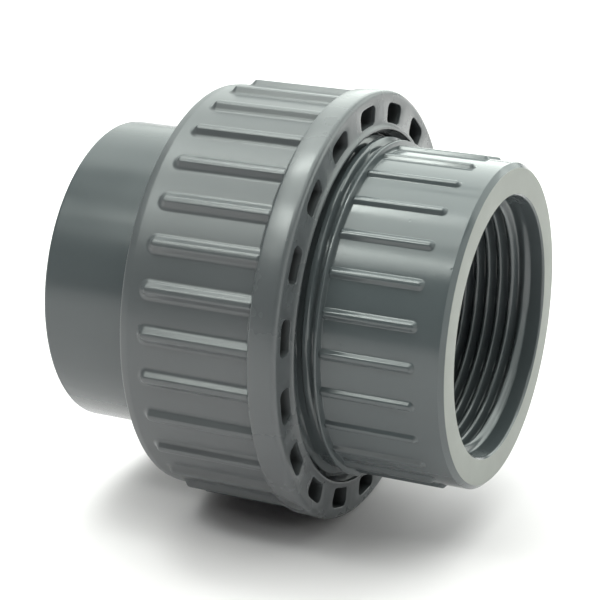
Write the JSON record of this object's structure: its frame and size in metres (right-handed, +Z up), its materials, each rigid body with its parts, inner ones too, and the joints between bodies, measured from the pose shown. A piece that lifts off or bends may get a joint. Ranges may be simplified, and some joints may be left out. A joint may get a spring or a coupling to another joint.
{
  "type": "pipe union",
  "caption": "Plastic pipe union: a plain solvent socket end and a ribbed female threaded end drawn together by a ribbed union nut over an O-ring face seal.",
  "frame": {"origin": "centre of the whole fitting's box, which is on the pipe axis, halfway between its two end faces", "axes": "+X along the pipe axis, out of the female threaded end; -X out of the solvent socket; +Z up as the fitting lies with its axis level"},
  "size_m": [0.079, 0.0806, 0.0806],
  "materials": {
    "socket_end": "satin moulded grey PVC-U",
    "union_nut": "satin moulded grey PVC-U",
    "threaded_end": "glossy moulded grey PVC-U with a machined front face",
    "seal_rubber": "black EPDM"
  },
  "bodies": {
    "tail": {"socket_end": "socket_end"},
    "nut": {"union_nut": "union_nut"},
    "threaded_body": {"threaded_end": "threaded_end", "o_ring": "seal_rubber"}
  },
  "joints": [
    {"name": "nut_turn", "type": "hinge", "parent": "tail", "child": "nut", "pos_m": [0, 0, 0], "axis": [-1, 0, 0], "range_deg": [0, 1890]},
    {"name": "body_draw", "type": "slide", "parent": "tail", "child": "threaded_body", "axis": [1, 0, 0], "range_m": [0, 0.01576]}
  ],
  "couplings": [
    {"joint": "body_draw", "follows": "nut_turn", "m_per_rad": 0.00047746}
  ]
}
